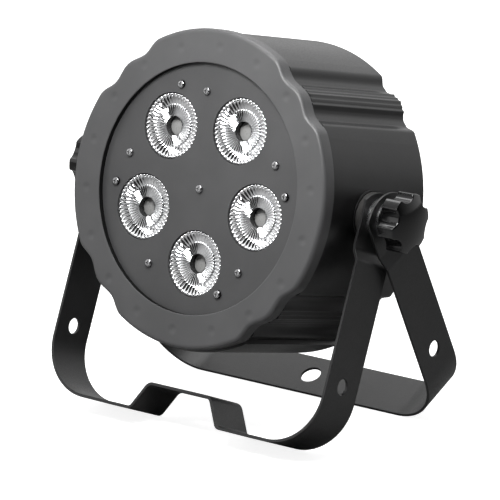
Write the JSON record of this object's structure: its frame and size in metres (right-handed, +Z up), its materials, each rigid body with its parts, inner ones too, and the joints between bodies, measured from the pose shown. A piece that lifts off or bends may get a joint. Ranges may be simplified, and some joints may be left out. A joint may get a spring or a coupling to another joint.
{
  "type": "par can light",
  "caption": "Drum-shaped LED stage light with a round scalloped bezel and faceted lenses, tilting between two nested U-shaped yokes clamped by lobed knobs.",
  "frame": {"origin": "on the floor at the centre of the whole light's footprint, below the middle of its bounding box", "axes": "+Z up; +X along the tilt axis; -Y the way the lenses face, so the rear face looks +Y"},
  "size_m": [0.288, 0.1672, 0.2712],
  "materials": {
    "housing": "black moulded plastic with a fine grain",
    "bezel": "charcoal moulded plastic",
    "panel": "satin charcoal paint on sheet",
    "yoke": "satin black powder coat on bent steel strap",
    "knob": "glossy black moulded plastic",
    "steel": "zinc-plated steel",
    "screw_black": "blackened steel with a soft shine",
    "friction": "dense fibre-filled rubber",
    "brass": "plain turned brass",
    "lens": "clear moulded optic with a faceted face",
    "lens_holder": "matt black moulded plastic",
    "led": "clear dome over yellow phosphor",
    "board": "green solder mask",
    "heatsink": "plain extruded aluminium",
    "fan": "matt black moulded plastic",
    "capacitor": "dark shrink sleeve",
    "connector": "fine-textured black plastic",
    "latch": "nickel-plated steel",
    "fuse": "glass tube with plated ends",
    "display": "matt black display case",
    "window": "smoked clear plastic",
    "button": "soft black plastic"
  },
  "bodies": {
    "front_yoke": {"front_yoke": "yoke", "yoke_spacers": "steel"},
    "head": {"board_screws": "screw_black", "board_spacers": "steel", "connector_screws": "screw_black", "control_board": "board", "cover_screws": "screw_black", "data_in_pins": "brass", "data_in_socket": "connector", "data_out_socket": "connector", "display_module": "display", "display_window": "window", "fan_frame": "fan", "fan_screws": "screw_black", "friction_washers": "friction", "front_bezel": "bezel", "front_panel": "panel", "fuse_holder": "connector", "heatsink": "heatsink", "heatsink_screws": "steel", "housing_shell": "housing", "led_board": "board", "led_emitters": "led", "lens_1": "lens", "lens_2": "lens", "lens_3": "lens", "lens_4": "lens", "lens_5": "lens", "lens_holder_1": "lens_holder", "lens_holder_2": "lens_holder", "lens_holder_3": "lens_holder", "lens_holder_4": "lens_holder", "lens_holder_5": "lens_holder", "panel_screws": "screw_black", "pivot_inserts": "brass", "power_board": "board", "power_board_pillars": "steel", "power_capacitors": "capacitor", "power_inlet": "connector", "power_inlet_pins": "brass", "power_outlet": "connector", "power_transformer": "capacitor", "rear_cover": "housing", "safety_loop": "steel", "safety_loop_nuts": "steel"},
    "rear_yoke": {"rear_yoke": "yoke"},
    "left_washer": {"left_washer": "steel"},
    "left_knob": {"left_knob": "knob", "left_bolt": "steel"},
    "right_washer": {"right_washer": "steel"},
    "right_knob": {"right_knob": "knob", "right_bolt": "steel"},
    "fan_rotor": {"fan_rotor": "fan"},
    "menu_button": {"menu_button": "button"},
    "down_button": {"down_button": "button"},
    "up_button": {"up_button": "button"},
    "enter_button": {"enter_button": "button"},
    "data_out_latch": {"data_out_latch": "latch"},
    "fuse_cap": {"fuse_cap": "connector", "fuse_link": "fuse"}
  },
  "joints": [
    {"name": "head_tilt", "type": "hinge", "parent": "front_yoke", "child": "head", "pos_m": [0, -0.00625, 0.15547], "axis": [1, 0, 0], "continuous": true},
    {"name": "rear_yoke_swing", "type": "hinge", "parent": "front_yoke", "child": "rear_yoke", "pos_m": [0, -0.00625, 0.15547], "axis": [1, 0, 0], "continuous": true},
    {"name": "left_knob_back_off", "type": "slide", "parent": "head", "child": "left_washer", "axis": [-1, 0, 0], "range_m": [0, 0.00125]},
    {"name": "left_knob_turn", "type": "hinge", "parent": "left_washer", "child": "left_knob", "pos_m": [-0.13, -0.00625, 0.15547], "axis": [-1, 0, 0], "range_deg": [0, 360]},
    {"name": "right_knob_back_off", "type": "slide", "parent": "head", "child": "right_washer", "axis": [1, 0, 0], "range_m": [0, 0.00125]},
    {"name": "right_knob_turn", "type": "hinge", "parent": "right_washer", "child": "right_knob", "pos_m": [0.13, -0.00625, 0.15547], "axis": [1, 0, 0], "range_deg": [0, 360]},
    {"name": "fan_spin", "type": "hinge", "parent": "head", "child": "fan_rotor", "pos_m": [0, 0.0527, 0.19324], "axis": [0, 0.9746, -0.2238], "continuous": true},
    {"name": "menu_press", "type": "slide", "parent": "head", "child": "menu_button", "axis": [0, -0.9746, 0.2238], "range_m": [0, 0.0005], "stiffness_N_per_m": 800},
    {"name": "down_press", "type": "slide", "parent": "head", "child": "down_button", "axis": [0, -0.9746, 0.2238], "range_m": [0, 0.0005], "stiffness_N_per_m": 800},
    {"name": "up_press", "type": "slide", "parent": "head", "child": "up_button", "axis": [0, -0.9746, 0.2238], "range_m": [0, 0.0005], "stiffness_N_per_m": 800},
    {"name": "enter_press", "type": "slide", "parent": "head", "child": "enter_button", "axis": [0, -0.9746, 0.2238], "range_m": [0, 0.0005], "stiffness_N_per_m": 800},
    {"name": "data_out_latch_press", "type": "slide", "parent": "head", "child": "data_out_latch", "axis": [0, -0.9746, 0.2238], "range_m": [0, 0.0015], "stiffness_N_per_m": 600},
    {"name": "fuse_cap_turn", "type": "hinge", "parent": "head", "child": "fuse_cap", "pos_m": [-0.06, 0.05463, 0.14355], "axis": [0, 0.9746, -0.2238], "range_deg": [0, 90]}
  ],
  "couplings": [
    {"joint": "left_knob_turn", "follows": "left_knob_back_off", "rad_per_m": 5026.5},
    {"joint": "right_knob_turn", "follows": "right_knob_back_off", "rad_per_m": 5026.5}
  ]
}
